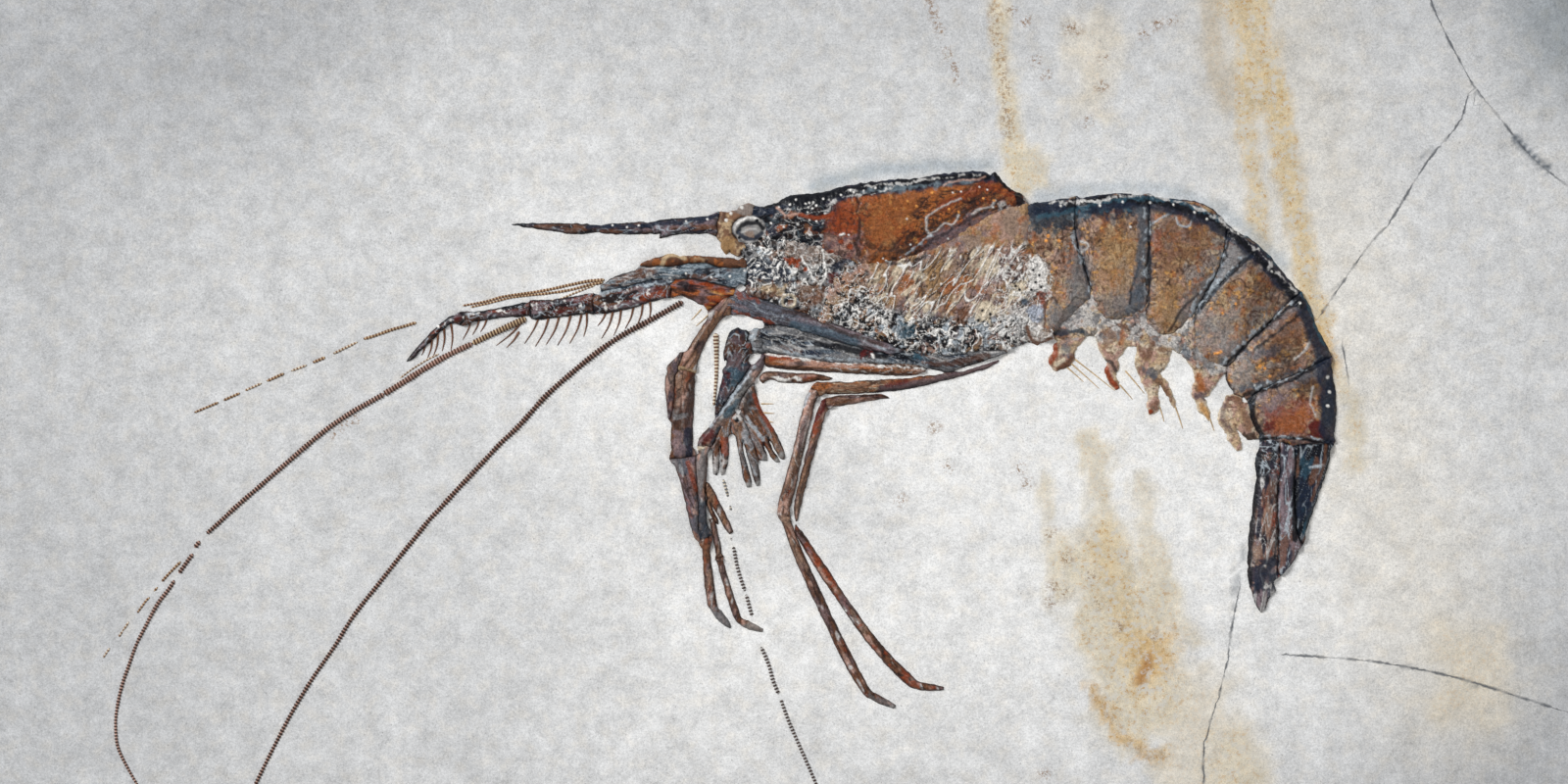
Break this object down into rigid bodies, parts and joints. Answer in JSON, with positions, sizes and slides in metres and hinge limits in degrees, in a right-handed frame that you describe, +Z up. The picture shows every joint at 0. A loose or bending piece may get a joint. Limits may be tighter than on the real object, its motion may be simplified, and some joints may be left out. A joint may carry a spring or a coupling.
{
  "type": "fossil shrimp",
  "caption": "Long-snouted prawn fossil flattened on its side on a pale limestone plate, with banded feelers, comb-edged mouth legs, jointed walking legs, ringed tail and tail fan.",
  "frame": {"origin": "centre of the plate's flat underside", "axes": "+X along the plate's long side, towards the prawn's tail; +Y towards its back; +Z up, out of the face that carries the fossil"},
  "size_m": [0.24, 0.132, 0.0141],
  "materials": {
    "limestone": "matt, fine-grained",
    "rust_shell": "polished, glossy",
    "taupe_shell": "polished, satin",
    "cream_shell": "crumpled, satin",
    "slate_shell": "polished, glossy",
    "leg_shell": "polished, satin",
    "feeler_shell": "banded, satin",
    "tan_shell": "smooth, satin"
  },
  "bodies": {
    "root": {"limestone_slab": "limestone", "carapace": "rust_shell", "maxilliped_base": "rust_shell", "tail_left_fan": "rust_shell", "abdomen_1": "taupe_shell", "abdomen_2": "taupe_shell", "abdomen_3": "taupe_shell", "abdomen_4": "taupe_shell", "abdomen_5": "taupe_shell", "abdomen_6": "taupe_shell", "gill_region": "cream_shell", "mouthparts": "cream_shell", "pleopod_1": "cream_shell", "pleopod_2": "cream_shell", "pleopod_3": "cream_shell", "pleopod_4": "cream_shell", "pleopod_5": "cream_shell", "rostrum": "slate_shell", "eye": "slate_shell", "antennal_scale": "slate_shell", "tail_spike": "slate_shell", "tail_right_fan": "slate_shell", "maxilliped_tip": "leg_shell", "maxilliped_hand": "leg_shell", "maxilliped_shank": "leg_shell", "maxilliped_thigh": "leg_shell", "leg_1_thigh": "leg_shell", "leg_1_shin": "leg_shell", "leg_1_foot": "leg_shell", "leg_1_spur": "leg_shell", "leg_2_thigh": "leg_shell", "leg_2_shin": "leg_shell", "leg_2_foot": "leg_shell", "leg_3_shin": "leg_shell", "leg_3_foot": "leg_shell", "leg_3_finger": "leg_shell", "leg_4_thigh": "leg_shell", "leg_4_shin": "leg_shell", "leg_4_foot": "leg_shell", "leg_5_thigh": "leg_shell", "leg_5_shin": "leg_shell", "leg_5_foot": "leg_shell", "arm_1": "leg_shell", "arm_2": "leg_shell", "arm_3": "leg_shell", "arm_4": "leg_shell", "claw_palm": "leg_shell", "claw_1": "leg_shell", "claw_2": "leg_shell", "claw_3": "leg_shell", "antenna_thread": "feeler_shell", "antenna_far": "feeler_shell", "antenna_far_branch": "feeler_shell", "antenna_near": "feeler_shell", "antenna_hanging_top": "feeler_shell", "antenna_hanging_middle": "feeler_shell", "antenna_hanging_end": "feeler_shell", "antennules": "feeler_shell", "eyestalk": "tan_shell", "antenna_peduncle": "tan_shell"}
  },
  "joints": []
}
